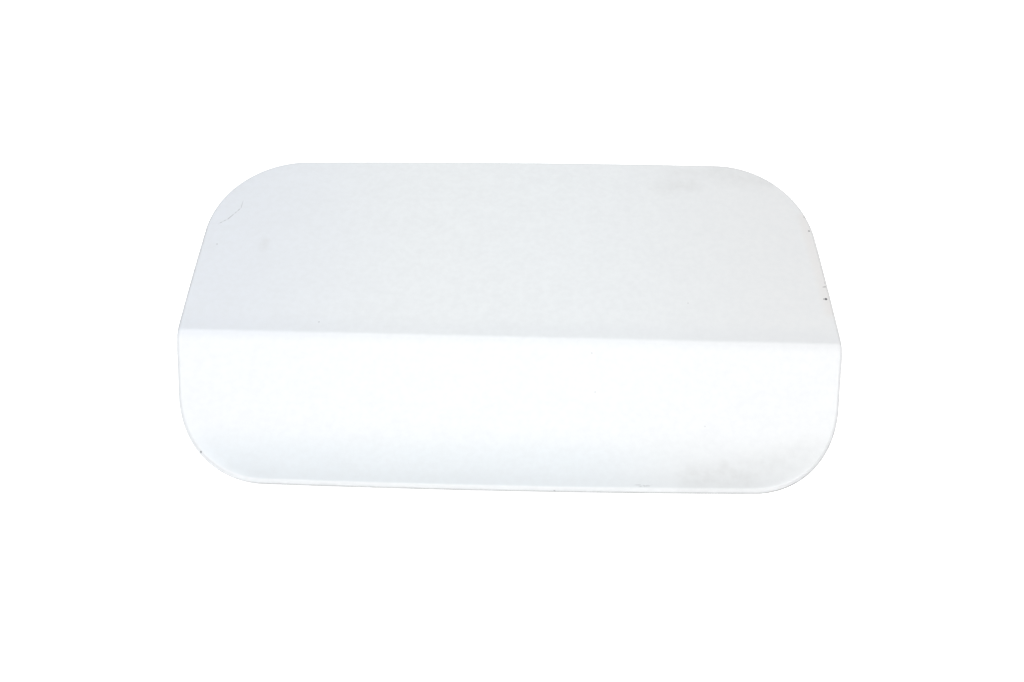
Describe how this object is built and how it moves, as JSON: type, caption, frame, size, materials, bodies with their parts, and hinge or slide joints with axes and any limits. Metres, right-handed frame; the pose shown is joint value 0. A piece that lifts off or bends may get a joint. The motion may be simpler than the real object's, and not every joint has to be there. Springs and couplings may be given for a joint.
{
  "type": "fuel filler flap",
  "caption": "White painted steel fuel filler flap for a car body, a hemmed skin with a sharp crease over a pressed inner panel with hinge seat, lock socket and rubber buffers.",
  "frame": {"origin": "middle of the flap's outline, on the plane of the buffers' undersides that the flap stands on", "axes": "+X along the crease from the hinge end to the lock end, +Y towards the flap's upper edge, +Z out through the painted face"},
  "size_m": [0.22, 0.134, 0.0194],
  "materials": {
    "white_paint": "gloss",
    "inner_paint": "satin",
    "zinc_steel": "satin",
    "black_plastic": "moulded",
    "black_rubber": "matt",
    "grey_mastic": "matt"
  },
  "bodies": {
    "root": {"outer_skin": "white_paint", "inner_panel": "inner_paint", "hinge_plate": "zinc_steel", "weld_nut_upper": "zinc_steel", "weld_nut_lower": "zinc_steel", "lock_socket": "black_plastic", "socket_clip": "zinc_steel", "buffer_upper_left": "black_rubber", "buffer_upper_right": "black_rubber", "buffer_lower_left": "black_rubber", "buffer_lower_right": "black_rubber", "mastic_upper_left": "grey_mastic", "mastic_upper_middle": "grey_mastic", "mastic_upper_right": "grey_mastic", "mastic_lower_left": "grey_mastic", "mastic_lower_middle": "grey_mastic", "mastic_lower_right": "grey_mastic", "drain_plug_left": "black_rubber", "drain_plug_right": "black_rubber"}
  },
  "joints": []
}
